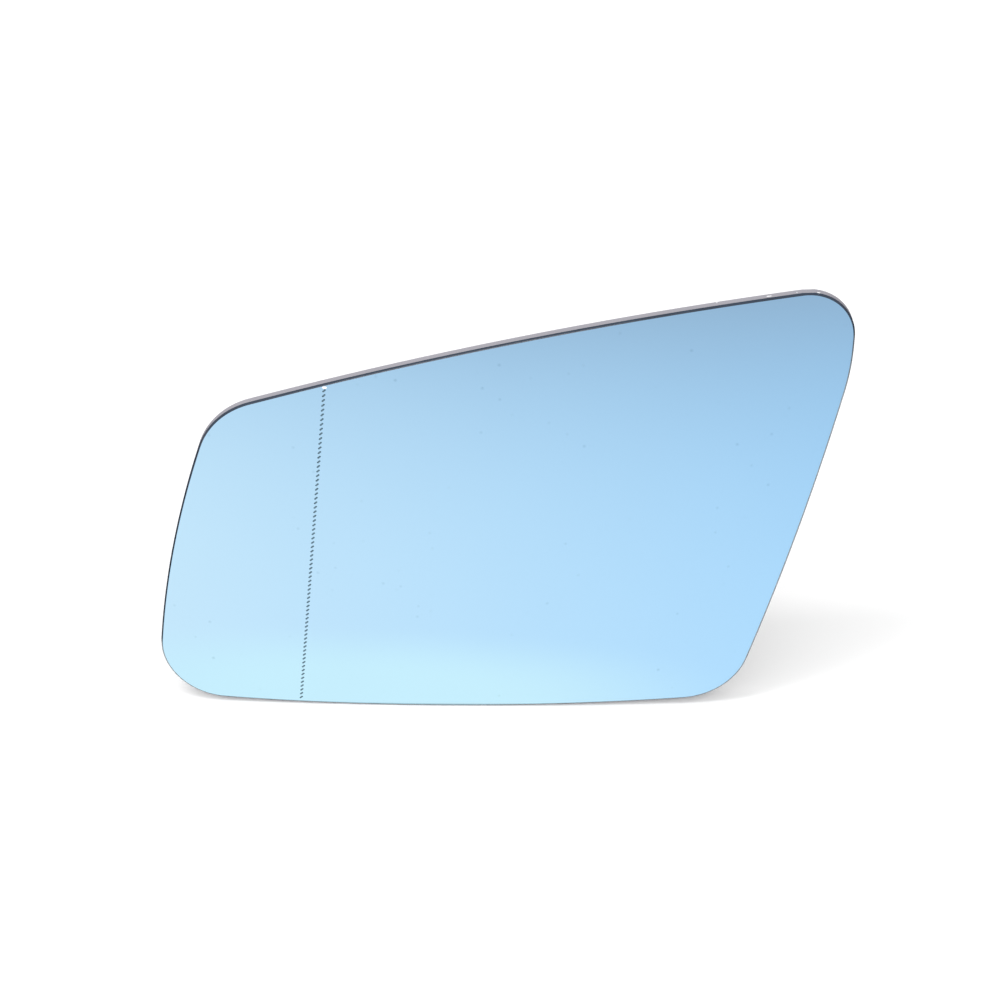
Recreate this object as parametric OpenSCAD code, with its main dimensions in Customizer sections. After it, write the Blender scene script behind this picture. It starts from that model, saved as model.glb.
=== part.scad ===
// Left-hand door mirror glass: a convex blue coated pane with an aspheric outer
// zone, a heater pad bonded to its back, and the moulded carrier plate that
// snaps onto the adjuster in the mirror housing.
// +X points right and +Z up as seen from the front, and +Y points to the rear.
// The origin is the centre of the locating ring's bore, on the ring axis.

/* [Glass outline, seen from the front] */
// Ring axis to the outboard edge, at the left
outboard_reach = 97.9; // [90:0.1:106]
// Ring axis to the inboard tip, at the right
inboard_reach = 93.5; // [86:0.1:102]
// Ring axis up to the top of the upper right corner
top_reach = 60.8; // [55:0.1:68]
// Ring axis down to the bottom of the lower left corner
bottom_reach = 71.1; // [67:0.1:80]
// How much lower the upper left corner lies than the upper right one
top_drop = 30.6; // [25:0.1:37]
// How far the upper left corner lies inboard of the lower left one
outboard_lean = 14.9; // [9:0.1:21]
// How far the lower right corner lies inboard of the tip
inboard_rake = 21.5; // [17:0.1:29]
// How much higher the lower right corner ends than the lower left one
bottom_rise = 0.6; // [0:0.1:3]
// Corner radius, upper left
upper_left_r = 22.7; // [18:0.1:27]
// Corner radius, upper right
upper_right_r = 13.2; // [11:0.1:17]
// Radius of the wide bend below the upper right corner
shoulder_r = 72; // [50:1:90]
// How far the wide bend's centre lies below the corner's
shoulder_drop = 2.3; // [1:0.1:5]
// Corner radius, lower right
lower_right_r = 19.6; // [15:0.1:24]
// Corner radius, lower left
lower_left_r = 17.9; // [12:0.1:21]
// Radius of the long curve of the top edge
top_edge_r = 797; // [600:1:1100]
// Radius of the short curve that joins the upper right corner and the wide bend
tip_edge_r = 400; // [200:1:800]
// Radius of the long curve of the inboard edge
inboard_edge_r = 1103; // [800:1:1500]
// Radius of the long curve of the bottom edge
bottom_edge_r = 1354; // [1000:1:2000]
// Radius of the long curve of the outboard edge
outboard_edge_r = 325; // [260:1:400]

/* [Glass] */
// Glass thickness
glass_t = 3; // [2:0.1:4]
// Seam ground along the front edge
front_seam = 0.5; // [0.3:0.05:0.8]
// Seam ground along the rear edge
rear_seam = 0.3; // [0.2:0.05:0.6]
// Spherical radius of the main zone
face_r = 1300; // [1000:10:2000]
// Radius that the aspheric zone tightens to at the outboard edge
aspheric_edge_r = 320; // [250:5:500]
// Width over which the aspheric zone tightens
aspheric_w = 45; // [38:1:52]

/* [Dividing line] */
// Where the dividing line crosses the height of the ring axis
divider_x = -50.4; // [-56:0.1:-45]
// Sideways run of the dividing line for each millimetre of height
divider_lean = 0.11; // [0.05:0.01:0.17]
// Height at which the dashes start, near the top edge
divider_top = 33.4; // [20:0.1:34]
// Height at which the dashes end, near the bottom edge
divider_bottom = -70; // [-70:0.1:-50]
// Distance from one dash to the next
dash_pitch = 1.455; // [1.2:0.005:2.4]
// Length of one dash
dash_l = 1.2; // [0.8:0.05:1.6]
// Width of one dash
dash_w = 0.5; // [0.3:0.05:0.6]
// Depth to which a dash is cut into the face
dash_depth = 0.1; // [0.05:0.01:0.3]
// Rise of a dash above the horizontal
dash_angle = 42; // [30:1:50]

/* [Heater pad] */
// Thickness of the pad with its adhesive
pad_t = 0.5; // [0.3:0.05:1]
// Play between the pad's edge and the wall of its recess
pad_gap = 0.4; // [0.2:0.1:1]

/* [Carrier plate] */
// How far the plate stays inside the glass edge
plate_inset = 2; // [1:0.1:3]
// Wall of the plate
plate_t = 2.2; // [1.6:0.1:3.2]
// Width of the land round the pad, where the plate meets the glass
land_w = 1.8; // [1.4:0.1:3]
// How far the edge rib stands in from the plate's edge
rim_set = 2.2; // [2:0.1:4]
// Width of the edge rib
rim_w = 1.5; // [1.2:0.1:3]
// Height of the edge rib
rim_h = 3; // [1.5:0.1:5]
// Thickness of the stiffening ribs
rib_w = 1.4; // [1:0.1:2.2]
// Height of the stiffening ribs at the hook circle
rib_root_h = 6; // [4:0.1:8]
// Height of the stiffening ribs at the plate's edge
rib_end_h = 2.4; // [1.2:0.1:3]
// Size of the rib loop, as a share of the glass outline
loop_scale = 0.8; // [0.78:0.01:0.84]
// How far the rib loop stands in from that smaller outline
loop_set = 1.7; // [0:0.1:3]
// Diameter of an ejector mark
mark_d = 5; // [3:0.1:6]
// Depth of an ejector mark
mark_depth = 0.3; // [0.1:0.05:0.6]
// Distance of the ejector marks from the ring axis
mark_reach = 44; // [41:0.1:46]

/* [Adjuster ring] */
// Bore radius of the locating ring
ring_bore_r = 22; // [19:0.1:24]
// Wall of the locating ring
ring_wall = 2; // [1.6:0.1:3]
// Height of the locating ring above the plate
ring_h = 8; // [6:0.1:10]
// Inner radius of the circle of snap hooks
hook_r = 33; // [31:0.1:35]
// Thickness of a snap hook
hook_t = 2; // [1.6:0.1:2.6]
// Arc that one snap hook spans, in degrees
hook_arc = 22; // [16:1:28]
// Number of snap hooks
hook_count = 8; // [6:1:9]
// Height of a snap hook above the plate
hook_h = 11; // [9:0.1:13]
// How far the hook's nose reaches inward
nose_reach = 1.2; // [0.8:0.1:1.6]
// Height of the hook's nose
nose_h = 3; // [2.2:0.1:3.6]
// Height of the fixed guide walls between the hooks
guide_h = 6; // [4:0.1:8]
// Clear angle between a hook and the guide wall beside it, in degrees
guide_gap = 3; // [2:0.5:4]
// Room that the rib loop leaves behind the hooks, so that they can bend
hook_room = 2; // [1:0.1:4]
// Play in the plate's window under a hook's nose
nose_play = 0.8; // [0.4:0.1:1.2]

/* [Terminals] */
// Sideways distance from the ring axis to each terminal
terminal_x = 12; // [10:0.1:15]
// Drop from the ring axis to the terminals
terminal_drop = 45.5; // [44:0.1:47]
// Side of the square window round each terminal
window_side = 10; // [9.4:0.1:12]
// Radius of the window's corners
window_r = 1.2; // [0.6:0.1:2]
// Wall of the collar round the window
collar_wall = 1.2; // [0.8:0.1:1.6]
// Height of the collar round the window
collar_h = 2.6; // [1:0.1:5]
// Width of the blade
blade_w = 6.3; // [4.8:0.1:6.8]
// Thickness of the tab strip
blade_t = 0.8; // [0.5:0.1:1.2]
// Length of the blade behind its foot
blade_l = 11; // [8:0.1:14]
// Length of the soldered foot
foot_l = 7; // [5:0.1:8]
// Thickness of the solder under the foot
solder_t = 0.1; // [0.05:0.01:0.2]
// Chamfer at each side of the blade's tip
blade_nose = 1; // [0.5:0.1:1.4]
// Diameter of the locking hole in the blade
blade_hole_d = 1.8; // [1.2:0.1:2.2]
// Distance from the blade's tip to the locking hole
blade_hole_set = 3.3; // [2.8:0.1:4]

/* [Hidden] */
// Facets of a turned part and of a small round one
fine = 96;
small = 32;
// Points along a corner and along a side of the outline
corner_steps = 7;
side_steps = 15;
// Rings of points across a wall that follows the face, as shares of its outline
inner_rings = [0.25, 0.5, 0.75];
// Steps in which a long and a short rib follow the face
long_rib_steps = 4;
short_rib_steps = 3;
// How far ribs run into the rib that they meet
overlap = 0.5;
// Shares of a nose's height at which its lead-in ends and its catch begins
nose_lead = 0.6;
nose_catch = 0.75;
// Sectors between the radial ribs that hold an ejector mark
mark_sectors = [-1, 0, 3, 4];

// The corner circles, clockwise from the upper left: x, z, radius. The third is the wide bend
corners = [
    [outboard_lean + upper_left_r - outboard_reach, top_reach - top_drop - upper_left_r, upper_left_r],
    [inboard_reach - upper_right_r, top_reach - upper_right_r, upper_right_r],
    [inboard_reach - shoulder_r, top_reach - upper_right_r - shoulder_drop, shoulder_r],
    [inboard_reach - inboard_rake - lower_right_r, bottom_rise - bottom_reach + lower_right_r, lower_right_r],
    [lower_left_r - outboard_reach, lower_left_r - bottom_reach, lower_left_r]
];
edge_r = [top_edge_r, tip_edge_r, inboard_edge_r, bottom_edge_r, outboard_edge_r];
sides = len(corners);

// Depths behind the face, and insets from the glass edge, that the pieces share
pad_back = glass_t + pad_t;
plate_back = pad_back + plate_t;
skin_mid = pad_back + plate_t / 2;
recess_inset = plate_inset + land_w;
pad_inset = recess_inset + pad_gap;
rim_outer = plate_inset + rim_set;
rim_inner = rim_outer + rim_w;
through = 3 * plate_t + collar_h + rib_root_h;
hook_step = 360 / hook_count;
to_ring = [0, -plate_back - ring_h / 2, 0];

function flat(lists) = [for (list = lists) for (item = list) item];
function circle_centre(k) = [corners[k % sides][0], corners[k % sides][1]];
function corner_r(k) = corners[k % sides][2];
function heading(v) = atan2(v[1], v[0]);
function turn_back(a, b) = a - ((a - b) % 360 + 360) % 360;

// Centre of the long arc that leaves corner k and runs tangent into the next one
function edge_centre(k) =
    let (
        a = circle_centre(k),
        b = circle_centre(k + 1),
        ra = edge_r[k % sides] - corner_r(k),
        rb = edge_r[k % sides] - corner_r(k + 1),
        span = norm(b - a),
        along = (ra * ra - rb * rb + span * span) / (2 * span),
        away = sqrt(ra * ra - along * along),
        unit = (b - a) / span
    )
    a + unit * along + [unit[1], -unit[0]] * away;

function arc(centre, r, a, b, steps) =
    [for (k = [0 : steps - 1]) centre + r * [cos(a + (b - a) * k / steps), sin(a + (b - a) * k / steps)]];

// Outline at an inset from the glass edge, clockwise from the upper left corner
function outline(inset) =
    flat([for (k = [0 : sides - 1])
        let (
            here = circle_centre(k),
            next = circle_centre(k + 1),
            before = edge_centre(k + sides - 1),
            after = edge_centre(k),
            a0 = heading(here - before),
            a1 = turn_back(a0, heading(here - after)),
            a2 = turn_back(a1, heading(next - after))
        )
        concat(
            arc(here, corner_r(k) - inset, a0, a1, corner_steps),
            arc(after, edge_r[k] - inset, a1, a2, side_steps)
        )
    ]);

// Depth of the front face: a sphere, and outboard of the dividing line a
// curve that tightens evenly up to the edge
function divider_at(z) = divider_x + divider_lean * z;
function aspheric_drop(x, z) =
    pow(max(0, divider_at(z) - x), 3) / (6 * aspheric_w) * (1 / aspheric_edge_r - 1 / face_r);
function face_y(x, z) = face_r - sqrt(face_r * face_r - x * x - z * z) + aspheric_drop(x, z);
function on_face(p, depth) = [p[0], face_y(p[0], p[1]) + depth, p[1]];

// Two triangles for each step between two rings of points
function band(near, far, steps, outward) =
    flat([for (i = [0 : steps - 1])
        let (j = (i + 1) % steps)
        outward
            ? [[near + i, far + i, far + j], [near + i, far + j, near + j]]
            : [[near + i, far + i, near + j], [near + j, far + i, far + j]]
    ]);

// A shell that follows the face. Each layer is [inset, scale, depth], from the
// middle of the front outward and back to the middle of the rear.
module follow_face(front, layers, rear) {
    steps = len(outline(0));
    count = len(layers);
    rings = flat([for (layer = layers) [for (p = outline(layer[0])) on_face(p * layer[1], layer[2])]]);
    points = concat([on_face([0, 0], front)], rings, [on_face([0, 0], rear)]);
    last = len(points) - 1;
    first_fan = [for (i = [0 : steps - 1]) [0, 1 + i, 1 + (i + 1) % steps]];
    last_ring = 1 + (count - 1) * steps;
    last_fan = [for (i = [0 : steps - 1]) [last, last_ring + (i + 1) % steps, last_ring + i]];
    bands = flat([for (k = [0 : count - 2])
        let (outward = layers[k][0] > layers[k + 1][0] || layers[k][1] < layers[k + 1][1])
        band(1 + k * steps, 1 + (k + 1) * steps, steps, outward)
    ]);
    polyhedron(points = points, faces = concat(first_fan, bands, last_fan), convexity = 6);
}

function spread(inset, depth) = [for (s = inner_rings) [inset, s, depth]];
function gather(inset, depth) = [for (k = [len(inner_rings) - 1 : -1 : 0]) [inset, inner_rings[k], depth]];

// Glass pane with its two seams, and the dashes cut through the coating
module mirror_glass() {
    color([0.67, 0.84, 0.96])
    translate(to_ring)
    difference() {
        follow_face(0, concat(
            spread(pad_inset, 0),
            [[pad_inset, 1, 0], [recess_inset, 1, 0], [plate_inset, 1, 0], [front_seam, 1, 0]],
            [[0, 1, front_seam], [0, 1, glass_t - rear_seam], [rear_seam, 1, glass_t]],
            [[plate_inset, 1, glass_t], [recess_inset, 1, glass_t], [pad_inset, 1, glass_t]],
            gather(pad_inset, glass_t)
        ), glass_t);
        divider_dashes();
    }
}

module divider_dashes() {
    count = floor((divider_top - divider_bottom) / dash_pitch) + 1;
    for (k = [0 : count - 1]) {
        z = divider_top - k * dash_pitch;
        x = divider_at(z);
        translate([x, face_y(x, z), z])
            rotate([0, -dash_angle, 0])
                cube([dash_l, 2 * dash_depth, dash_w], center = true);
    }
}

// Self-adhesive heater foil, bonded over nearly all of the glass back
module heater_pad() {
    color([0.72, 0.70, 0.66])
    translate(to_ring)
    follow_face(glass_t, concat(
        spread(pad_inset, glass_t),
        [[pad_inset, 1, glass_t], [pad_inset, 1, pad_back]],
        gather(pad_inset, pad_back)
    ), pad_back);
}

// Moulded carrier plate
module carrier_plate() {
    color([0.10, 0.10, 0.11])
    translate(to_ring)
    difference() {
        union() {
            plate_skin();
            locating_ring();
            snap_hooks();
            guide_walls();
            stiffening_ribs();
            mirrored_pair() window_collar();
        }
        mirrored_pair() terminal_window();
        nose_windows();
        ejector_marks();
    }
}

// Plate wall with the pad's recess in front and the edge rib behind
module plate_skin() {
    follow_face(pad_back, concat(
        spread(pad_inset, pad_back),
        [[pad_inset, 1, pad_back], [recess_inset, 1, pad_back], [recess_inset, 1, glass_t]],
        [[plate_inset, 1, glass_t], [plate_inset, 1, plate_back], [rim_outer, 1, plate_back]],
        [[rim_outer, 1, plate_back + rim_h], [rim_inner, 1, plate_back + rim_h], [rim_inner, 1, plate_back]],
        gather(pad_inset, plate_back)
    ), plate_back);
}

// Tube along the ring axis that takes the boss of the adjuster's face
module locating_ring() {
    translate([0, skin_mid, 0])
        rotate([-90, 0, 0])
            difference() {
                cylinder(h = plate_t / 2 + ring_h, r = ring_bore_r + ring_wall, $fn = fine);
                translate([0, 0, -plate_t])
                    cylinder(h = 2 * plate_t + ring_h, r = ring_bore_r, $fn = fine);
            }
}

// Profile turned through an arc about the ring axis, centred on a direction;
// its second coordinate is the height above the middle of the plate wall
module about_ring(direction, span) {
    translate([0, skin_mid, 0])
        rotate([-90, 0, 0])
            rotate([0, 0, direction - span / 2])
                rotate_extrude(angle = span, $fn = fine)
                    children();
}

// Hooks that snap behind the rim of the adjuster's face
module snap_hooks() {
    tip = plate_t / 2 + hook_h;
    for (k = [0 : hook_count - 1])
        about_ring((k + 0.5) * hook_step, hook_arc)
            polygon([
                [hook_r, 0],
                [hook_r + hook_t, 0],
                [hook_r + hook_t, tip],
                [hook_r, tip],
                [hook_r - nose_reach, tip - nose_h * nose_lead],
                [hook_r - nose_reach, tip - nose_h * nose_catch],
                [hook_r, tip - nose_h]
            ]);
}

// Stiff walls between the hooks, which centre the adjuster's face
module guide_walls() {
    for (k = [0 : hook_count - 1])
        about_ring(k * hook_step, hook_step - hook_arc - 2 * guide_gap)
            translate([hook_r, 0])
                square([hook_t, plate_t / 2 + guide_h]);
}

// Openings in the plate wall under the hooks' noses
module nose_windows() {
    width = nose_reach + nose_play;
    for (k = [0 : hook_count - 1])
        about_ring((k + 0.5) * hook_step, hook_arc)
            translate([hook_r - width, -plate_t])
                square([width, 2 * plate_t]);
}

// Shallow rounds that the moulding tool's ejector pins leave
module ejector_marks() {
    for (k = mark_sectors) {
        direction = (k + 0.5) * hook_step;
        p = mark_reach * [cos(direction), sin(direction)];
        translate(on_face(p, plate_back - mark_depth))
            rotate([-90, 0, 0])
                cylinder(h = plate_t, d = mark_d, $fn = small);
    }
}

// Straight rib along a heading, its foot in the plate wall and its back
// following the face, from radius a to radius b
module face_rib(direction, a, b, height_a, height_b, steps) {
    across = [-sin(direction), cos(direction)] * rib_w / 2;
    stations = flat([for (k = [0 : steps])
        let (
            share = k / steps,
            p = [cos(direction), sin(direction)] * (a + (b - a) * share),
            low = p - across,
            high = p + across,
            top = plate_back + height_a + (height_b - height_a) * share
        )
        [on_face(low, skin_mid), on_face(high, skin_mid), on_face(high, top), on_face(low, top)]
    ]);
    end = 4 * steps;
    walls = flat([for (k = [0 : steps - 1])
        flat([for (c = [0 : 3])
            let (n = 4 * k, d = (c + 1) % 4)
            [[n + c, n + 4 + d, n + 4 + c], [n + c, n + d, n + 4 + d]]
        ])
    ]);
    caps = [[0, 2, 1], [0, 3, 2], [end, end + 1, end + 2], [end, end + 2, end + 3]];
    polyhedron(points = stations, faces = concat(walls, caps), convexity = 2);
}

// Closed rib that follows the outline at a smaller size, its back following the face
module face_loop(height) {
    inner = (loop_set + rib_w) / loop_scale;
    outer = loop_set / loop_scale;
    steps = len(outline(0));
    top = plate_back + height;
    sections = [[inner, skin_mid], [outer, skin_mid], [outer, top], [inner, top]];
    points = flat([for (c = sections) [for (p = outline(c[0])) on_face(p * loop_scale, c[1])]]);
    count = len(sections);
    walls = flat([for (c = [0 : count - 1]) band(c * steps, (c + 1) % count * steps, steps, true)]);
    polyhedron(points = points, faces = walls, convexity = 6);
}

// Column over the outline, used to trim ribs that run out past it
module outline_column(inset, scale) {
    rotate([90, 0, 0])
        mirror([0, 0, 1])
            linear_extrude(height = inboard_reach)
                polygon(outline(inset) * scale);
}

// Distance from the ring axis to the plate's edge rib in a direction
function edge_reach(direction) =
    min([for (k = [0 : sides - 1])
        let (
            c = edge_centre(k),
            along = c * [cos(direction), sin(direction)],
            r = edge_r[k] - rim_outer
        )
        along + sqrt(along * along - c * c + r * r)
    ]);

// Radial ribs outside the guide walls, shorter ones outside the loop, and the loop
module stiffening_ribs() {
    start = hook_r + hook_t / 2;
    intersection() {
        union() {
            for (k = [0 : hook_count - 1])
                let (direction = k * hook_step, end = edge_reach(direction))
                    face_rib(direction, start, end, rib_root_h, rib_end_h, long_rib_steps);
            difference() {
                for (k = [0 : hook_count - 1])
                    let (direction = (k + 0.5) * hook_step, end = edge_reach(direction))
                        face_rib(direction, start + hook_t, end, rib_end_h, rib_end_h, short_rib_steps);
                outline_column((loop_set + overlap) / loop_scale, loop_scale);
            }
        }
        outline_column(rim_inner - overlap, 1);
    }
    difference() {
        face_loop(rib_end_h);
        translate([0, skin_mid, 0])
            rotate([-90, 0, 0])
                cylinder(h = through, r = hook_r + hook_t + hook_room, $fn = fine);
    }
}

module mirrored_pair() {
    children();
    mirror([1, 0, 0]) children();
}

module rounded_window(side, r, depth) {
    linear_extrude(height = depth)
        union() {
            square([side, side - 2 * r], center = true);
            square([side - 2 * r, side], center = true);
            for (sx = [-1, 1])
                for (sz = [-1, 1])
                    translate([sx, sz] * (side / 2 - r))
                        circle(r = r, $fn = small);
        }
}

module terminal_window() {
    translate([terminal_x, pad_back - plate_t, -terminal_drop])
        rotate([-90, 0, 0])
            rounded_window(window_side, window_r, through);
}

module window_collar() {
    translate(on_face([terminal_x, -terminal_drop], skin_mid))
        rotate([-90, 0, 0])
            rounded_window(window_side + 2 * collar_wall, window_r + collar_wall, plate_t / 2 + collar_h);
}

// Blade terminal: a foot soldered to the pad and a blade to the rear
module terminal() {
    tilt_x = asin(terminal_drop / face_r);
    tilt_z = asin(terminal_x / face_r);
    blade_z = foot_l / 2 - blade_t / 2;
    color([0.80, 0.80, 0.78])
    translate(to_ring + on_face([terminal_x, -terminal_drop], pad_back + solder_t))
        rotate([tilt_x, 0, tilt_z])
            difference() {
                union() {
                    translate([-blade_w / 2, 0, -foot_l / 2])
                        cube([blade_w, blade_t, foot_l]);
                    translate([0, 0, blade_z + blade_t / 2])
                        rotate([180, 0, 0])
                            mirror([0, 1, 0])
                                linear_extrude(height = blade_t)
                                    blade_outline();
                }
                translate([0, blade_l - blade_hole_set, blade_z - blade_t])
                    cylinder(h = 2 * blade_t, d = blade_hole_d, $fn = small);
            }
}

module blade_outline() {
    polygon([
        [-blade_w / 2, 0],
        [blade_w / 2, 0],
        [blade_w / 2, blade_l - blade_nose],
        [blade_w / 2 - blade_nose, blade_l],
        [blade_nose - blade_w / 2, blade_l],
        [-blade_w / 2, blade_l - blade_nose]
    ]);
}

module terminal_left() {
    mirror([1, 0, 0]) terminal();
}

module terminal_right() {
    terminal();
}

mirror_glass();
heater_pad();
carrier_plate();
terminal_left();
terminal_right();
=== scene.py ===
import math

import bpy
from mathutils import Matrix, Vector


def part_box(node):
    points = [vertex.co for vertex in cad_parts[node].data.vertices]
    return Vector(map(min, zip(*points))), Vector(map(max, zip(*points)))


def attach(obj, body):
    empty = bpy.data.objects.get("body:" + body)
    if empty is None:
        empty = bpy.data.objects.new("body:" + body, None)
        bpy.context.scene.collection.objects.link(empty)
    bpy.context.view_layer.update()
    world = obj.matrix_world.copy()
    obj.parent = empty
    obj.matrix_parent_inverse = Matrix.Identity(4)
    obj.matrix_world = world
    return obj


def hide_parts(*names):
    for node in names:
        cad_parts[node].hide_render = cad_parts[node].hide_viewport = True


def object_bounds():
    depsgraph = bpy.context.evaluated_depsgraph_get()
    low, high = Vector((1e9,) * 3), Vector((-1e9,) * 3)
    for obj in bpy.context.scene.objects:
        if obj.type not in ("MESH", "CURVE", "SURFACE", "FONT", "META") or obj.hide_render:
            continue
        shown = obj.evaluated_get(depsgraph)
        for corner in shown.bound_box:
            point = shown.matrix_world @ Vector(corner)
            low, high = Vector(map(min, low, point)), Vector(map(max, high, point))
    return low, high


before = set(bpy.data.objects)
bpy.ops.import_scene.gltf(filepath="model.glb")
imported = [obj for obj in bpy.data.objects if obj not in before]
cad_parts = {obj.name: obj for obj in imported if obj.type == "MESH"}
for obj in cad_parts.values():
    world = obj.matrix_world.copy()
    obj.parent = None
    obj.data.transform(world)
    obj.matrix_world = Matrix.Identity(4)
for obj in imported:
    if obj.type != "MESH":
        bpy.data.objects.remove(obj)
cad_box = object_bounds()


# Mirror glass
# One pane of 3 mm float glass, bent to a sphere that tightens outboard of the dividing line.
# The front carries the blue chromium coating, the rim is seamed and ground, and the dashes of the
# dividing line are cut through the coating. It is bonded to the heater pad behind it.

MM = 0.001
POLE_Y = -9.7 * MM
GLASS_T = 3 * MM
FRONT_SEAM = 0.5 * MM
WIDER_AT_FOOT = 0.36
REAR_SEAM = 0.3 * MM
ARRIS = 0.15 * MM
SHY = 0.01 * MM
FACE_R = 1300 * MM
ASPHERIC_EDGE_R = 320 * MM
ASPHERIC_W = 45 * MM
DIVIDER_X = -50.4 * MM
DIVIDER_LEAN = 0.11
DIVIDER_TOP = 33.4 * MM
DIVIDER_BOTTOM = -70 * MM
DASH_PITCH = 1.455 * MM
DASH_L = 1.2 * MM
DASH_W = 0.5 * MM
DASH_DEPTH = 0.1 * MM
DASH_CUTTER_RISE = 0.4 * MM
DASH_ANGLE = math.radians(42)

OUTBOARD_REACH = 97.9 * MM
INBOARD_REACH = 93.5 * MM
TOP_REACH = 60.8 * MM
BOTTOM_REACH = 71.1 * MM
TOP_DROP = 30.6 * MM
OUTBOARD_LEAN = 14.9 * MM
INBOARD_RAKE = 21.5 * MM
BOTTOM_RISE = 0.6 * MM
SHOULDER_DROP = 2.3 * MM
CORNER_R = [22.7 * MM, 13.2 * MM, 72 * MM, 19.6 * MM, 17.9 * MM]
EDGE_R = [797 * MM, 400 * MM, 1103 * MM, 1354 * MM, 325 * MM]
CORNER_AT = [
    Vector((OUTBOARD_LEAN + CORNER_R[0] - OUTBOARD_REACH, TOP_REACH - TOP_DROP - CORNER_R[0])),
    Vector((INBOARD_REACH - CORNER_R[1], TOP_REACH - CORNER_R[1])),
    Vector((INBOARD_REACH - CORNER_R[2], TOP_REACH - CORNER_R[1] - SHOULDER_DROP)),
    Vector((INBOARD_REACH - INBOARD_RAKE - CORNER_R[3], BOTTOM_RISE - BOTTOM_REACH + CORNER_R[3])),
    Vector((CORNER_R[4] - OUTBOARD_REACH, CORNER_R[4] - BOTTOM_REACH)),
]
SIDES = len(CORNER_R)

# Chips along the upper ground edge, near-white as painted glints: place across, depth behind the face, half
# length.
EDGE_CHIPS = [
    (-66.5 * MM, 1.0 * MM, 0.30 * MM),
    (56.6 * MM, 2.2 * MM, 0.28 * MM),
    (70.1 * MM, 1.5 * MM, 0.80 * MM),
    (77.3 * MM, 1.3 * MM, 0.16 * MM),
    (83.0 * MM, 0.9 * MM, 0.52 * MM),
]
CHIP_HALF = 0.25 * MM
FACE_CHIP_RISE = 0.95 * MM
FACE_CHIP = Vector((0.66, 0.12, 0.36)) * MM

COATING = (0.50, 0.775, 0.985, 1)
SEAM_GLASS = (0.012, 0.020, 0.034, 1)
# Painted light: the seam's paler colour where it faces down.
SEAM_PAINTED_LIGHT = (0.30, 0.35, 0.39, 1)
GROUND_GLASS = (0.33, 0.32, 0.355, 1)
BACK_PAINT = (0.055, 0.058, 0.062, 1)
BARE_DASH = (0.060, 0.115, 0.155, 1)
# Near-white chips: the frosted fracture of a chip, brightened into a painted glint.
CHIP_PAINTED_GLINT = (0.93, 0.94, 0.95, 1)
SPECK = (0.40, 0.64, 0.82, 1)
COAT, SEAM, GROUND, BACK, BARE, CHIP_GLINT = range(6)
GLASS_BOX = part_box("mirror_glass")
CORNER_STEPS = 28
SIDE_STEPS = 84
FACE_RINGS = 36
BACK_RINGS = 6


def edge_centre(k):
    a, b = CORNER_AT[k % SIDES], CORNER_AT[(k + 1) % SIDES]
    ra = EDGE_R[k % SIDES] - CORNER_R[k % SIDES]
    rb = EDGE_R[k % SIDES] - CORNER_R[(k + 1) % SIDES]
    span = (b - a).length
    along = (ra * ra - rb * rb + span * span) / (2 * span)
    away = math.sqrt(ra * ra - along * along)
    unit = (b - a) / span
    return a + unit * along + Vector((unit.y, -unit.x)) * away


def heading(v):
    return math.atan2(v.y, v.x)


def turn_back(a, b):
    return a - (a - b) % (2 * math.pi)


def arc(centre, r, a, b, steps):
    angles = [a + (b - a) * k / steps for k in range(steps)]
    return [centre + r * Vector((math.cos(t), math.sin(t))) for t in angles]


def outline(inset):
    """Rim of the pane at an inset, clockwise seen from the front."""
    points = []
    for k in range(SIDES):
        here, following = CORNER_AT[k], CORNER_AT[(k + 1) % SIDES]
        before, after = edge_centre(k - 1), edge_centre(k)
        a0 = heading(here - before)
        a1 = turn_back(a0, heading(here - after))
        a2 = turn_back(a1, heading(following - after))
        points += arc(here, CORNER_R[k] - inset, a0, a1, CORNER_STEPS)
        points += arc(after, EDGE_R[k] - inset, a1, a2, SIDE_STEPS)
    return points


def held_in(p):
    """A rim point, held inside the box of the solid, whose corner arcs are chords."""
    low, high = GLASS_BOX
    x = min(max(p.x, low.x + SHY), high.x - SHY)
    z = min(max(p.y, low.z + SHY), high.z - SHY)
    return Vector((x, z))


def front_ring():
    """Rim of the coated face. The seam is ground a little wider along the foot."""
    ring = []
    for rim, inner in zip(outline(0), outline(FRONT_SEAM)):
        inward = inner - rim
        ring.append(inner + inward * WIDER_AT_FOOT * max(0, inward.y / FRONT_SEAM))
    return ring


def divider_at(z):
    return DIVIDER_X + DIVIDER_LEAN * z


def face_y(x, z):
    sphere = FACE_R - math.sqrt(FACE_R * FACE_R - x * x - z * z)
    tightening = (1 / ASPHERIC_EDGE_R - 1 / FACE_R) / (6 * ASPHERIC_W)
    return POLE_Y + sphere + max(0, divider_at(z) - x) ** 3 * tightening


def face_normal(x, z):
    h = 0.05 * MM
    slope_x = (face_y(x + h, z) - face_y(x - h, z)) / (2 * h)
    slope_z = (face_y(x, z + h) - face_y(x, z - h)) / (2 * h)
    return Vector((slope_x, -1, slope_z)).normalized()


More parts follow.
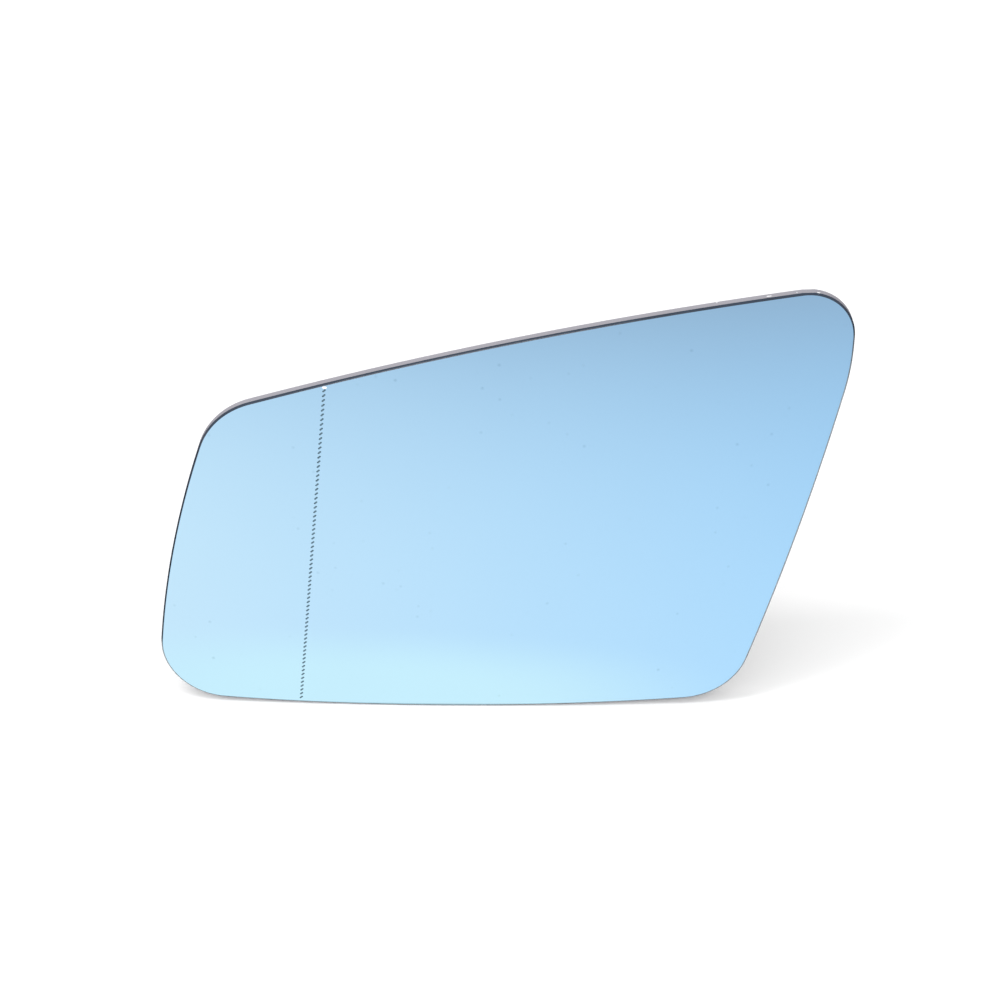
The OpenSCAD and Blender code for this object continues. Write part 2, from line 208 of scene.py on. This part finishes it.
def pane_mesh():
    """The pane as rings of points from the middle of the front to the middle of the back."""
    layers = [(FRONT_SEAM, (k + 1) / FACE_RINGS, 0, COAT) for k in range(FACE_RINGS)]
    layers += [(0, 1, FRONT_SEAM, SEAM), (0, 1, FRONT_SEAM + ARRIS, SEAM)]
    layers += [(0, 1, GLASS_T - REAR_SEAM, GROUND), (REAR_SEAM, 1, GLASS_T, SEAM)]
    layers += [(REAR_SEAM, 1 - (k + 1) / BACK_RINGS, GLASS_T, BACK) for k in range(BACK_RINGS - 1)]
    rings = {inset: [held_in(p) for p in outline(inset)] for inset in (0, REAR_SEAM)}
    rings[FRONT_SEAM] = front_ring()
    steps = len(rings[0])
    points = [(0, face_y(0, 0), 0)]
    faces, slots = [], []
    for n, (inset, scale, depth, slot) in enumerate(layers):
        first = len(points)
        for p in rings[inset]:
            x, z = p.x * scale, p.y * scale
            points.append((x, face_y(x, z) + depth, z))
        for i in range(steps):
            j = (i + 1) % steps
            if n == 0:
                faces.append((0, first + i, first + j))
            else:
                faces.append((first - steps + i, first + i, first + j, first - steps + j))
            slots.append(slot)
    points.append((0, face_y(0, 0) + GLASS_T, 0))
    last = len(points) - 1
    for i in range(steps):
        faces.append((last, last - steps + (i + 1) % steps, last - steps + i))
        slots.append(BACK)
    mesh = bpy.data.meshes.new("mirror_pane")
    mesh.from_pydata(points, [], [tuple(reversed(f)) for f in faces])
    mesh.polygons.foreach_set("material_index", slots)
    return mesh


def dashes():
    """A rounded bar for each dash of the dividing line, sunk into the face."""
    points, faces = [], []
    count = int((DIVIDER_TOP - DIVIDER_BOTTOM) / DASH_PITCH) + 1
    end_steps = 6
    r = DASH_W / 2
    half = DASH_L / 2 - r
    for k in range(count):
        z = DIVIDER_TOP - k * DASH_PITCH
        x = divider_at(z)
        lean = Matrix.Rotation(DASH_ANGLE, 2)
        loop = []
        for side in (1, -1):
            for s in range(end_steps + 1):
                t = -math.pi / 2 + math.pi * s / end_steps
                corner = Vector((half + r * math.cos(t), r * math.sin(t))) * side
                loop.append(lean @ corner + Vector((x, z)))
        first = len(points)
        depth = face_y(x, z)
        points += [(p.x, depth - DASH_CUTTER_RISE, p.y) for p in loop]
        points += [(p.x, depth + DASH_DEPTH, p.y) for p in loop]
        n = len(loop)
        faces.append(tuple(range(first, first + n)))
        faces.append(tuple(range(first + 2 * n - 1, first + n - 1, -1)))
        for i in range(n):
            j = (i + 1) % n
            faces.append((first + j, first + i, first + n + i, first + n + j))
    return points, faces


def top_rim(x):
    """Height of the upper rim at a place across the pane."""
    upper = [p for p in outline(0) if p.y > 0]
    return min(upper, key=lambda p: abs(p.x - x)).y


def shell(centre, size):
    """A small ellipsoid, which leaves a shell-shaped chip where it cuts the glass."""
    around, down = 14, 8
    points = [centre + Vector((0, 0, size.z))]
    for j in range(1, down):
        t = math.pi * j / down
        for i in range(around):
            a = 2 * math.pi * i / around
            on_ball = (math.sin(t) * math.cos(a), math.sin(t) * math.sin(a), math.cos(t))
            points.append(centre + Vector(on_ball) * size)
    points.append(centre - Vector((0, 0, size.z)))
    faces = [(0, 1 + i, 1 + (i + 1) % around) for i in range(around)]
    for j in range(down - 2):
        for i in range(around):
            a, b = 1 + j * around + i, 1 + j * around + (i + 1) % around
            faces.append((a, a + around, b + around, b))
    end, ring = len(points) - 1, 1 + (down - 2) * around
    faces += [(end, ring + (i + 1) % around, ring + i) for i in range(around)]
    return points, faces


def chips():
    """The chips of the ground edge, and the one in the face above the dividing line."""
    found = []
    for x, depth, half in EDGE_CHIPS:
        z = top_rim(x)
        found.append(shell(Vector((x, face_y(x, z) + depth, z)), Vector((half, CHIP_HALF, CHIP_HALF))))
    z = DIVIDER_TOP + FACE_CHIP_RISE
    x = divider_at(z)
    found.append(shell(Vector((x, face_y(x, z), z)), FACE_CHIP))
    return found


def cutter_mesh():
    """All that is cut out of the pane, with the bare glass of the dashes apart from the chips."""
    points, faces, slots = [], [], []
    for slot, parts in ((BARE, [dashes()]), (CHIP_GLINT, chips())):
        for part_points, part_faces in parts:
            first = len(points)
            points += part_points
            faces += [tuple(first + i for i in face) for face in part_faces]
            slots += [slot] * len(part_faces)
    mesh = bpy.data.meshes.new("cutters")
    mesh.from_pydata(points, [], faces)
    mesh.polygons.foreach_set("material_index", slots)
    return mesh


def engrave(pane, cutters):
    """Cuts the dashes and chips out of the pane, then gives the face the normals of the true curve."""
    cut = pane.modifiers.new("cuts", "BOOLEAN")
    cut.operation = "DIFFERENCE"
    cut.solver = "EXACT"
    cut.object = cutters
    cut.material_mode = "INDEX"
    bpy.context.view_layer.update()
    done = bpy.data.meshes.new_from_object(pane.evaluated_get(bpy.context.evaluated_depsgraph_get()))
    pane.modifiers.clear()
    pane.data = done
    bpy.data.objects.remove(cutters)
    done.polygons.foreach_set("use_smooth", [True] * len(done.polygons))
    slot_of_edge = {}
    for poly in done.polygons:
        for key in poly.edge_keys:
            slot_of_edge.setdefault(key, set()).add(poly.material_index)
    for edge in done.edges:
        edge.use_edge_sharp = len(slot_of_edge[edge.key]) > 1
    normals = [corner.vector.copy() for corner in done.corner_normals]
    for poly in done.polygons:
        if poly.material_index == COAT:
            for loop in poly.loop_indices:
                co = done.vertices[done.loops[loop].vertex_index].co
                normals[loop] = face_normal(co.x, co.z)
    done.normals_split_custom_set(normals)


def add_node(tree, kind, **settings):
    node = tree.nodes.new(kind)
    for name, value in settings.items():
        setattr(node, name, value)
    return node


def new_material(name):
    material = bpy.data.materials.new(name)
    material.use_nodes = True
    tree = material.node_tree
    return material, tree, tree.nodes["Principled BSDF"]


def set_inputs(node, values):
    for name, value in values.items():
        node.inputs[name].default_value = value


def new_group(name, inputs, outputs):
    """A shader node group; inputs are (name, socket type, default), outputs (name, socket type)."""
    tree = bpy.data.node_groups.new(name, "ShaderNodeTree")
    for label, kind, default in inputs:
        socket = tree.interface.new_socket(label, in_out="INPUT", socket_type=kind)
        socket.default_value = default
    for label, kind in outputs:
        tree.interface.new_socket(label, in_out="OUTPUT", socket_type=kind)
    return tree, tree.nodes.new("NodeGroupInput"), tree.nodes.new("NodeGroupOutput")


def place_group(tree, group, values):
    node = tree.nodes.new("ShaderNodeGroup")
    node.node_tree = group
    set_inputs(node, values)
    return node


def dust_group():
    """Settled specks with soft edges: a mask from scattered cells, in which few are strong and most faint."""
    tree, given, out = new_group(
        "settled_dust",
        [
            ("Spacing", "NodeSocketFloat", 9.0),
            ("Size", "NodeSocketFloat", 0.04),
            ("Rarity", "NodeSocketFloat", 4.0),
        ],
        [("Mask", "NodeSocketFloat")],
    )
    coords = tree.nodes.new("ShaderNodeTexCoord")
    scale = add_node(tree, "ShaderNodeMath", operation="DIVIDE")
    scale.inputs[0].default_value = 1 / MM
    cells = add_node(tree, "ShaderNodeTexVoronoi", feature="F1")
    near = add_node(tree, "ShaderNodeMapRange", interpolation_type="SMOOTHSTEP")
    set_inputs(near, {"From Min": 0.0, "To Min": 1.0, "To Max": 0.0})
    chance = tree.nodes.new("ShaderNodeSeparateColor")
    strength = add_node(tree, "ShaderNodeMath", operation="POWER")
    both = add_node(tree, "ShaderNodeMath", operation="MULTIPLY")
    tree.links.new(given.outputs["Spacing"], scale.inputs[1])
    tree.links.new(coords.outputs["Object"], cells.inputs["Vector"])
    tree.links.new(scale.outputs[0], cells.inputs["Scale"])
    tree.links.new(cells.outputs["Distance"], near.inputs["Value"])
    tree.links.new(given.outputs["Size"], near.inputs["From Max"])
    tree.links.new(cells.outputs["Color"], chance.inputs[0])
    tree.links.new(chance.outputs[0], strength.inputs[0])
    tree.links.new(given.outputs["Rarity"], strength.inputs[1])
    tree.links.new(near.outputs["Result"], both.inputs[0])
    tree.links.new(strength.outputs[0], both.inputs[1])
    tree.links.new(both.outputs[0], out.inputs["Mask"])
    return tree


def grain_group():
    """Fine surface unevenness: a height for bump, and a slow variation between 0 and 1."""
    tree, given, out = new_group(
        "fine_grain",
        [("Grain", "NodeSocketFloat", 900.0), ("Drift", "NodeSocketFloat", 18.0)],
        [("Height", "NodeSocketFloat"), ("Drift", "NodeSocketFloat")],
    )
    coords = tree.nodes.new("ShaderNodeTexCoord")
    fine = add_node(tree, "ShaderNodeTexNoise", noise_dimensions="3D")
    slow = add_node(tree, "ShaderNodeTexNoise", noise_dimensions="3D")
    set_inputs(fine, {"Detail": 4.0, "Roughness": 0.6})
    set_inputs(slow, {"Detail": 3.0, "Roughness": 0.5})
    for noise, name in ((fine, "Grain"), (slow, "Drift")):
        tree.links.new(coords.outputs["Object"], noise.inputs["Vector"])
        tree.links.new(given.outputs[name], noise.inputs["Scale"])
    tree.links.new(fine.outputs[0], out.inputs["Height"])
    tree.links.new(slow.outputs[0], out.inputs["Drift"])
    return tree


DUST = dust_group()
GRAIN = grain_group()
MIX_FACTOR, MIX_FIRST, MIX_SECOND, MIX_RESULT = 0, 6, 7, 2


def drifted(tree, drift, low, high):
    """A value that follows the slow variation between two limits."""
    node = tree.nodes.new("ShaderNodeMapRange")
    set_inputs(node, {"From Min": 0.3, "From Max": 0.7, "To Min": low, "To Max": high})
    tree.links.new(drift, node.inputs["Value"])
    return node.outputs["Result"]


def shaded(tint, share):
    return tuple(share * c for c in tint[:3]) + (1,)


def tinted(tree, factor, first, second):
    """A colour that runs from a tint, or what a node gives, to another tint by a factor."""
    mix = add_node(tree, "ShaderNodeMix", data_type="RGBA")
    if isinstance(first, tuple):
        mix.inputs[MIX_FIRST].default_value = first
    else:
        tree.links.new(first, mix.inputs[MIX_FIRST])
    mix.inputs[MIX_SECOND].default_value = second
    tree.links.new(factor, mix.inputs[MIX_FACTOR])
    return mix.outputs[MIX_RESULT]


def bumped(tree, height, strength, distance):
    node = tree.nodes.new("ShaderNodeBump")
    set_inputs(node, {"Strength": strength, "Distance": distance})
    tree.links.new(height, node.inputs["Height"])
    return node.outputs["Normal"]


def coating_material():
    material, tree, surface = new_material("blue_coating")
    set_inputs(surface, {"Metallic": 1.0})
    grain = place_group(tree, GRAIN, {"Grain": 420.0, "Drift": 26.0})
    dust = place_group(tree, DUST, {"Spacing": 4.6, "Size": 0.17, "Rarity": 5.0})
    tone = tinted(tree, grain.outputs["Drift"], shaded(COATING, 0.975), COATING)
    tree.links.new(tinted(tree, dust.outputs["Mask"], tone, SPECK), surface.inputs["Base Color"])
    tree.links.new(drifted(tree, grain.outputs["Drift"], 0.035, 0.06), surface.inputs["Roughness"])
    return material


def seam_material():
    """Ground glass, dark where it faces up; where it faces down its colour is painted paler, painted light
    from the floor below.
    """
    material, tree, surface = new_material("seamed_glass")
    grain = place_group(tree, GRAIN, {"Grain": 1500.0, "Drift": 120.0})
    set_inputs(surface, {"IOR": 1.5, "Specular IOR Level": 0.4})
    tone = tinted(tree, grain.outputs["Drift"], SEAM_GLASS, shaded(SEAM_GLASS, 1.8))
    turned = tree.nodes.new("ShaderNodeNewGeometry")
    axes = tree.nodes.new("ShaderNodeSeparateXYZ")
    # Painted light: where the seam faces down, its colour is painted paler as if lit by the floor.
    below = add_node(tree, "ShaderNodeMapRange", interpolation_type="SMOOTHSTEP")
    set_inputs(below, {"From Min": 0.15, "From Max": -0.2})
    tree.links.new(turned.outputs["Normal"], axes.inputs[0])
    tree.links.new(axes.outputs["Z"], below.inputs["Value"])
    tree.links.new(tinted(tree, below.outputs["Result"], tone, SEAM_PAINTED_LIGHT), surface.inputs["Base Color"])
    tree.links.new(drifted(tree, grain.outputs["Drift"], 0.16, 0.3), surface.inputs["Roughness"])
    tree.links.new(bumped(tree, grain.outputs["Height"], 0.25, 0.02 * MM), surface.inputs["Normal"])
    return material


def ground_material():
    material, tree, surface = new_material("ground_glass_edge")
    grain = place_group(tree, GRAIN, {"Grain": 2600.0, "Drift": 90.0})
    set_inputs(surface, {"IOR": 1.5})
    darker = shaded(GROUND_GLASS, 0.84)
    tree.links.new(tinted(tree, grain.outputs["Drift"], darker, GROUND_GLASS), surface.inputs["Base Color"])
    tree.links.new(drifted(tree, grain.outputs["Drift"], 0.34, 0.5), surface.inputs["Roughness"])
    tree.links.new(bumped(tree, grain.outputs["Height"], 0.5, 0.03 * MM), surface.inputs["Normal"])
    return material


def back_paint_material():
    material, tree, surface = new_material("back_paint")
    grain = place_group(tree, GRAIN, {"Grain": 700.0, "Drift": 40.0})
    lighter = shaded(BACK_PAINT, 1.3)
    tree.links.new(tinted(tree, grain.outputs["Drift"], BACK_PAINT, lighter), surface.inputs["Base Color"])
    tree.links.new(drifted(tree, grain.outputs["Drift"], 0.4, 0.55), surface.inputs["Roughness"])
    tree.links.new(bumped(tree, grain.outputs["Height"], 0.2, 0.03 * MM), surface.inputs["Normal"])
    return material


def dash_material():
    material, tree, surface = new_material("bare_dash")
    grain = place_group(tree, GRAIN, {"Grain": 3000.0, "Drift": 300.0})
    lighter = shaded(BARE_DASH, 1.35)
    set_inputs(surface, {"IOR": 1.5})
    tree.links.new(tinted(tree, grain.outputs["Drift"], BARE_DASH, lighter), surface.inputs["Base Color"])
    tree.links.new(drifted(tree, grain.outputs["Drift"], 0.35, 0.5), surface.inputs["Roughness"])
    return material


# Chipped glass painted near-white, so that the chips show as painted glints of the lamp.
def chip_glint_material():
    material, tree, surface = new_material("chipped_glass_painted_glint")
    grain = place_group(tree, GRAIN, {"Grain": 4000.0, "Drift": 900.0})
    set_inputs(surface, {"IOR": 1.5})
    duller = shaded(CHIP_PAINTED_GLINT, 0.9)
    tree.links.new(tinted(tree, grain.outputs["Drift"], duller, CHIP_PAINTED_GLINT), surface.inputs["Base Color"])
    tree.links.new(drifted(tree, grain.outputs["Drift"], 0.15, 0.35), surface.inputs["Roughness"])
    return material


pane = bpy.data.objects.new("mirror_pane", pane_mesh())
cutters = bpy.data.objects.new("cutters", cutter_mesh())
for piece in (pane, cutters):
    bpy.context.scene.collection.objects.link(piece)
engrave(pane, cutters)
for material in (
    coating_material(),
    seam_material(),
    ground_material(),
    back_paint_material(),
    dash_material(),
    chip_glint_material(),
):
    pane.data.materials.append(material)
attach(pane, "root")
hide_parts("mirror_glass")


# Heater pad
# A self-adhesive polyester foil with a printed conductor, bonded over the back of the glass.
# It shows through the plate's windows: grey foil with darker conductor tracks.

FOIL = (0.42, 0.40, 0.36, 1)
TRACK = (0.20, 0.20, 0.21, 1)
TRACK_PITCH = 4.2 * MM
# The band texture makes a full turn over this share of its scale.
BAND_TURN = math.pi / 10


def heater_foil_material():
    material, tree, surface = new_material("heater_foil")
    grain = place_group(tree, GRAIN, {"Grain": 500.0, "Drift": 60.0})
    coords = tree.nodes.new("ShaderNodeTexCoord")
    wave = add_node(tree, "ShaderNodeTexWave", wave_type="BANDS", bands_direction="Z", wave_profile="SIN")
    set_inputs(wave, {"Scale": BAND_TURN / TRACK_PITCH, "Distortion": 0.0})
    edge = tree.nodes.new("ShaderNodeMapRange")
    set_inputs(edge, {"From Min": 0.42, "From Max": 0.5})
    tree.links.new(coords.outputs["Object"], wave.inputs["Vector"])
    tree.links.new(wave.outputs["Fac"], edge.inputs["Value"])
    tree.links.new(tinted(tree, edge.outputs["Result"], FOIL, TRACK), surface.inputs["Base Color"])
    tree.links.new(drifted(tree, grain.outputs["Drift"], 0.3, 0.45), surface.inputs["Roughness"])
    tree.links.new(bumped(tree, edge.outputs["Result"], 0.4, 0.05 * MM), surface.inputs["Normal"])
    return material


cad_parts["heater_pad"].material_slots[0].material = heater_foil_material()


# Carrier plate
# An injection-moulded plate in black polypropylene, with a fine eroded grain on its back.
# The ribs, the locating ring and the snap hooks are moulded in one shot with it.

BLACK_PLASTIC = (0.022, 0.022, 0.024, 1)
WORN_PLASTIC = (0.05, 0.05, 0.053, 1)


def moulded_plastic_material():
    material, tree, surface = new_material("moulded_plastic")
    grain = place_group(tree, GRAIN, {"Grain": 1300.0, "Drift": 22.0})
    dust = place_group(tree, DUST, {"Spacing": 6.0, "Size": 0.05, "Rarity": 3.0})
    tone = tinted(tree, grain.outputs["Drift"], BLACK_PLASTIC, shaded(BLACK_PLASTIC, 1.45))
    tree.links.new(tinted(tree, dust.outputs["Mask"], tone, WORN_PLASTIC), surface.inputs["Base Color"])
    tree.links.new(drifted(tree, grain.outputs["Drift"], 0.42, 0.58), surface.inputs["Roughness"])
    tree.links.new(bumped(tree, grain.outputs["Height"], 0.35, 0.06 * MM), surface.inputs["Normal"])
    return material


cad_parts["carrier_plate"].material_slots[0].material = moulded_plastic_material()


# Terminals
# Two blades stamped from tinned brass strip, bent at a right angle and soldered by the foot to the
# pad's contact patches.

TINNED = (0.74, 0.73, 0.70, 1)
BRASS_TINT = (0.70, 0.62, 0.45, 1)


def tinned_brass_material():
    material, tree, surface = new_material("tinned_brass")
    set_inputs(surface, {"Metallic": 1.0})
    grain = place_group(tree, GRAIN, {"Grain": 900.0, "Drift": 160.0})
    warm = drifted(tree, grain.outputs["Drift"], 0.0, 0.3)
    tree.links.new(tinted(tree, warm, TINNED, BRASS_TINT), surface.inputs["Base Color"])
    tree.links.new(drifted(tree, grain.outputs["Drift"], 0.24, 0.42), surface.inputs["Roughness"])
    tree.links.new(bumped(tree, grain.outputs["Height"], 0.25, 0.03 * MM), surface.inputs["Normal"])
    return material


TINNED_BRASS = tinned_brass_material()
for name in ("terminal_left", "terminal_right"):
    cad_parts[name].material_slots[0].material = TINNED_BRASS


# Stage
# A white floor under the lower edge of the glass, white surroundings that are brightest in front, and
# one soft lamp from above, a little in front and to the left. The floor shows painted tones to reflections
# only, which the coating mirrors: painted warm light at the foot of the glass and on the left, painted
# grey further out and painted shade under the glass.

FLOOR_SIZE = 8.0
FLOOR_WHITE = (0.98, 0.98, 0.98, 1)
FLOOR_GLOW = 0.04
SKY_LEVEL = 1.38
SKY_FROM_LEFT = 0.4
SKY_FROM_FRONT = 0.9
# Painted reflection: tones the floor gives off to glossy rays only, with painted light at the foot and on the
# left, painted grey further out and painted shade under the glass.
FAR_TONE = (0.501, 0.474, 0.508, 1)
MIDDLE_TONE = (0.717, 0.896, 1.068, 1)
LEFT_PAINTED_LIGHT = (1.236, 1.095, 1.001, 1)
FOOT_PAINTED_LIGHT = (1.159, 1.130, 1.023, 1)
SHADE_TONE = (0.05, 0.06, 0.065, 1)
ZENITH_TONE = (0.95, 0.97, 1.0, 1)
FAR_Y, NEAR_Y = -557.6 * MM, 60 * MM
LEFT_FROM_X, LEFT_TO_X = 300 * MM, -260 * MM
LEFT_FROM_Y, LEFT_TO_Y = -450 * MM, 0
FOOT_X, FOOT_HALF_X, FOOT_HALF_Y = -40 * MM, 73.15 * MM, 22.6 * MM
FOOT_INNER, FOOT_OUTER = 0.5, 1.6
SHADE_FROM_Y, SHADE_TO_Y = -9.2 * MM, -7.6 * MM
LAMP_FROM = (-0.38, -0.33, 1.0)
LAMP_DISTANCE = 1.3
LAMP_WIDTH, LAMP_DEPTH = 0.55, 0.14
LAMP_WATTS = 3.4


def floor_material():
    material = bpy.data.materials.new("studio_floor")
    material.use_nodes = True
    tree = material.node_tree
    tree.nodes.clear()
    link = tree.links.new
    place = tree.nodes.new("ShaderNodeNewGeometry")
    axes = tree.nodes.new("ShaderNodeSeparateXYZ")
    link(place.outputs["Position"], axes.inputs[0])

    def worked(operation, *values):
        node = add_node(tree, "ShaderNodeMath", operation=operation)
        for socket, value in zip(node.inputs, values):
            if isinstance(value, (int, float)):
                socket.default_value = value
            else:
                link(value, socket)
        return node.outputs[0]

    def ramp(source, start, end):
        node = add_node(tree, "ShaderNodeMapRange", interpolation_type="SMOOTHSTEP")
        set_inputs(node, {"From Min": start, "From Max": end})
        link(source, node.inputs["Value"])
        return node.outputs["Result"]

    x, y = axes.outputs["X"], axes.outputs["Y"]
    near = ramp(y, FAR_Y, NEAR_Y)
    left = worked("MULTIPLY", ramp(x, LEFT_FROM_X, LEFT_TO_X), ramp(y, LEFT_FROM_Y, LEFT_TO_Y))
    across = worked("DIVIDE", worked("SUBTRACT", x, FOOT_X), FOOT_HALF_X)
    out_from = worked("DIVIDE", worked("SUBTRACT", y, POLE_Y), FOOT_HALF_Y)
    reach = worked("SQRT", worked("ADD", worked("POWER", across, 2), worked("POWER", out_from, 2)))
    foot = worked("SUBTRACT", 1, ramp(reach, FOOT_INNER, FOOT_OUTER))
    # Painted reflection: the coating sees these glowing tones, painted light at the foot and on the left and
    # painted shade under the glass, while the camera sees plain white.
    open_floor = tinted(tree, near, FAR_TONE, MIDDLE_TONE)
    open_floor = tinted(tree, left, open_floor, LEFT_PAINTED_LIGHT)
    open_floor = tinted(tree, foot, open_floor, FOOT_PAINTED_LIGHT)
    bend = worked("DIVIDE", worked("POWER", x, 2), 2 * FACE_R)
    shade = ramp(worked("SUBTRACT", y, bend), SHADE_FROM_Y, SHADE_TO_Y)
    tones = tinted(tree, shade, open_floor, SHADE_TONE)
    mirrored = tree.nodes.new("ShaderNodeEmission")
    link(tones, mirrored.inputs["Color"])
    matte = tree.nodes.new("ShaderNodeBsdfDiffuse")
    matte.inputs["Color"].default_value = FLOOR_WHITE
    lit = tree.nodes.new("ShaderNodeEmission")
    set_inputs(lit, {"Color": (1, 1, 1, 1), "Strength": 1.0})
    floor_mix = tree.nodes.new("ShaderNodeMixShader")
    floor_mix.inputs[0].default_value = FLOOR_GLOW
    link(matte.outputs[0], floor_mix.inputs[1])
    link(lit.outputs[0], floor_mix.inputs[2])
    path = tree.nodes.new("ShaderNodeLightPath")
    seen = tree.nodes.new("ShaderNodeMixShader")
    link(path.outputs["Is Glossy Ray"], seen.inputs[0])
    link(floor_mix.outputs[0], seen.inputs[1])
    link(mirrored.outputs[0], seen.inputs[2])
    out = tree.nodes.new("ShaderNodeOutputMaterial")
    link(seen.outputs[0], out.inputs["Surface"])
    return material


def studio_world():
    world = bpy.data.worlds.new("studio")
    world.use_nodes = True
    tree = world.node_tree
    tree.nodes.clear()
    link = tree.links.new
    out = tree.nodes.new("ShaderNodeOutputWorld")
    path = tree.nodes.new("ShaderNodeLightPath")
    coords = tree.nodes.new("ShaderNodeTexCoord")
    axes = tree.nodes.new("ShaderNodeSeparateXYZ")
    height = tree.nodes.new("ShaderNodeMapRange")
    set_inputs(height, {"From Min": 0.0, "From Max": 0.75})
    link(coords.outputs["Generated"], axes.inputs[0])
    link(axes.outputs["Z"], height.inputs["Value"])
    tones = tinted(tree, height.outputs["Result"], FAR_TONE, ZENITH_TONE)
    leftward = add_node(tree, "ShaderNodeMath", operation="MULTIPLY_ADD")
    leftward.inputs[1].default_value = -SKY_LEVEL * SKY_FROM_LEFT
    leftward.inputs[2].default_value = SKY_LEVEL
    forward = add_node(tree, "ShaderNodeMath", operation="MULTIPLY_ADD")
    forward.inputs[1].default_value = -SKY_LEVEL * SKY_FROM_FRONT
    lit_side = add_node(tree, "ShaderNodeMath", operation="MAXIMUM")
    lit_side.inputs[1].default_value = 0
    soft = tree.nodes.new("ShaderNodeBackground")
    link(axes.outputs["X"], leftward.inputs[0])
    link(axes.outputs["Y"], forward.inputs[0])
    link(leftward.outputs[0], forward.inputs[2])
    link(forward.outputs[0], lit_side.inputs[0])
    link(lit_side.outputs[0], soft.inputs["Strength"])
    white = tree.nodes.new("ShaderNodeBackground")
    set_inputs(white, {"Color": (1, 1, 1, 1), "Strength": 1.0})
    mirrored = tree.nodes.new("ShaderNodeBackground")
    link(tones, mirrored.inputs["Color"])
    first = tree.nodes.new("ShaderNodeMixShader")
    link(path.outputs["Is Glossy Ray"], first.inputs[0])
    link(soft.outputs[0], first.inputs[1])
    link(mirrored.outputs[0], first.inputs[2])
    second = tree.nodes.new("ShaderNodeMixShader")
    link(path.outputs["Is Camera Ray"], second.inputs[0])
    link(first.outputs[0], second.inputs[1])
    link(white.outputs[0], second.inputs[2])
    link(second.outputs[0], out.inputs["Surface"])
    return world


lowest = cad_box[0][2]
floor_mesh = bpy.data.meshes.new("studio_floor")
half_floor = FLOOR_SIZE / 2
floor_corners = [(x * half_floor, y * half_floor, lowest) for x, y in ((-1, -1), (1, -1), (1, 1), (-1, 1))]
floor_mesh.from_pydata(floor_corners, [], [(0, 1, 2, 3)])
floor_mesh.materials.append(floor_material())
floor = bpy.data.objects.new("studio_floor", floor_mesh)
bpy.context.scene.collection.objects.link(floor)
bpy.context.scene.world = studio_world()


def strip_lamp(name, direction, distance, width, depth, power):
    """A rectangular soft box that faces the glass, its long side across the picture."""
    light = bpy.data.lights.new(name, "AREA")
    light.shape = "RECTANGLE"
    light.size = width
    light.size_y = depth
    light.energy = power
    lamp = bpy.data.objects.new(name, light)
    back = Vector(direction).normalized()
    side = Vector((0, 1, 0)).cross(back).normalized()
    lamp.matrix_world = Matrix((side, back.cross(side), back)).transposed().to_4x4()
    lamp.location = back * distance
    bpy.context.scene.collection.objects.link(lamp)


strip_lamp("key_lamp", LAMP_FROM, LAMP_DISTANCE, LAMP_WIDTH, LAMP_DEPTH, LAMP_WATTS)


# Camera
# It looks down on the upright glass, level with it from side to side, as the photograph does.

LOOK_DOWN = math.radians(32)
CAMERA_DISTANCE = 576 * MM
FOCAL_PIXELS = 2106
IMAGE_PIXELS = 1000

lens = bpy.data.cameras.new("camera")
lens.sensor_width = 36
lens.lens = lens.sensor_width * FOCAL_PIXELS / IMAGE_PIXELS
lens.clip_start = 0.01
camera = bpy.data.objects.new("camera", lens)
away = Vector((0, -math.cos(LOOK_DOWN), math.sin(LOOK_DOWN)))
camera.location = Vector((0, POLE_Y, 0)) + away * CAMERA_DISTANCE
camera.rotation_euler = (math.pi / 2 - LOOK_DOWN, 0, 0)
bpy.context.scene.collection.objects.link(camera)
bpy.context.scene.camera = camera
bpy.context.scene.view_settings.view_transform = "Standard"
